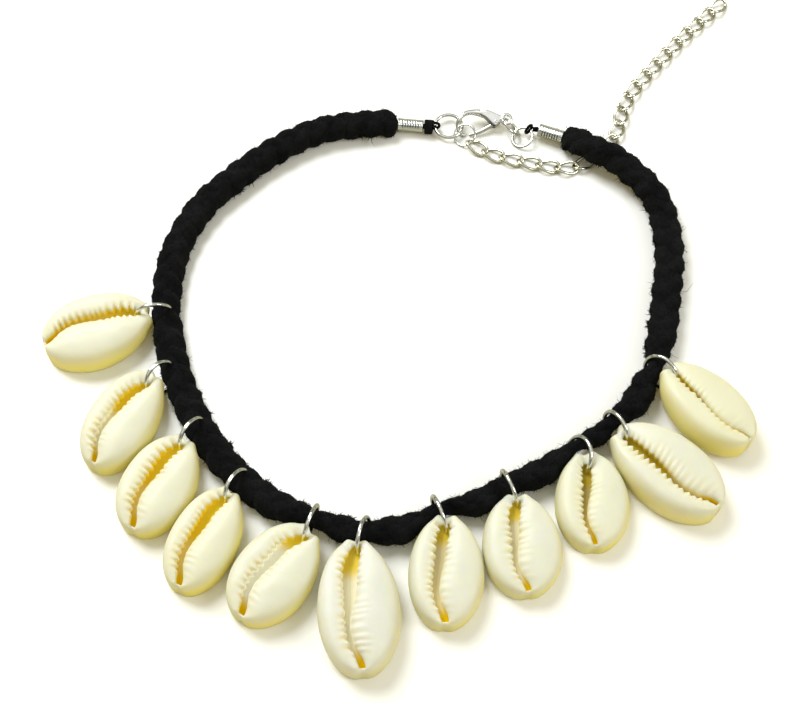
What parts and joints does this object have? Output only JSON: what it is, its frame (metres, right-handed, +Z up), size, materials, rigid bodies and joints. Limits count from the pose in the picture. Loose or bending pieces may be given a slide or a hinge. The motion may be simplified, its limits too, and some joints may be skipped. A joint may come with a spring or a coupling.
{
  "type": "choker",
  "caption": "Choker of cowrie shells ringed onto a thick braided black cord, with a silver lobster clasp and extender chain",
  "frame": {"origin": "Bottom centre of the whole choker as it lies: middle of its width and depth, on the surface it rests on.", "axes": "Millimetres. +X to the right as seen from the shells, +Y from the shells towards the clasp and the chain's loose end, +Z up from the surface it rests on."},
  "size_m": [0.1494, 0.1613, 0.008],
  "materials": {
    "cord": "matte black yarn",
    "shell": "bleached shell, softly glossy",
    "silver": "bright silver plate"
  },
  "bodies": {
    "choker": {"braided_cord": "cord", "shell_01": "shell", "shell_02": "shell", "shell_03": "shell", "shell_04": "shell", "shell_05": "shell", "shell_06": "shell", "shell_07": "shell", "shell_08": "shell", "shell_09": "shell", "shell_10": "shell", "shell_11": "shell", "shell_ring_01": "silver", "shell_ring_02": "silver", "shell_ring_03": "silver", "shell_ring_04": "silver", "shell_ring_05": "silver", "shell_ring_06": "silver", "shell_ring_07": "silver", "shell_ring_08": "silver", "shell_ring_09": "silver", "shell_ring_10": "silver", "shell_ring_11": "silver", "cord_end_left": "silver", "cord_end_right": "silver", "end_loop_left": "cord", "end_loop_right": "cord", "clasp_ring": "silver", "clasp_body": "silver", "clasp_pin": "silver", "clasp_link_1": "silver", "clasp_link_2": "silver", "extender_ring": "silver", "extender_chain": "silver"},
    "lever": {"clasp_lever": "silver"}
  },
  "joints": [
    {"name": "lever_hinge", "type": "hinge", "parent": "choker", "child": "lever", "pos_m": [0.019, 0.0439, 0.00175], "axis": [0, -0.3907, 0.9205], "range_deg": [-14, 0], "stiffness_Nm_per_rad": 0.0006, "springref_deg": 2.86}
  ]
}
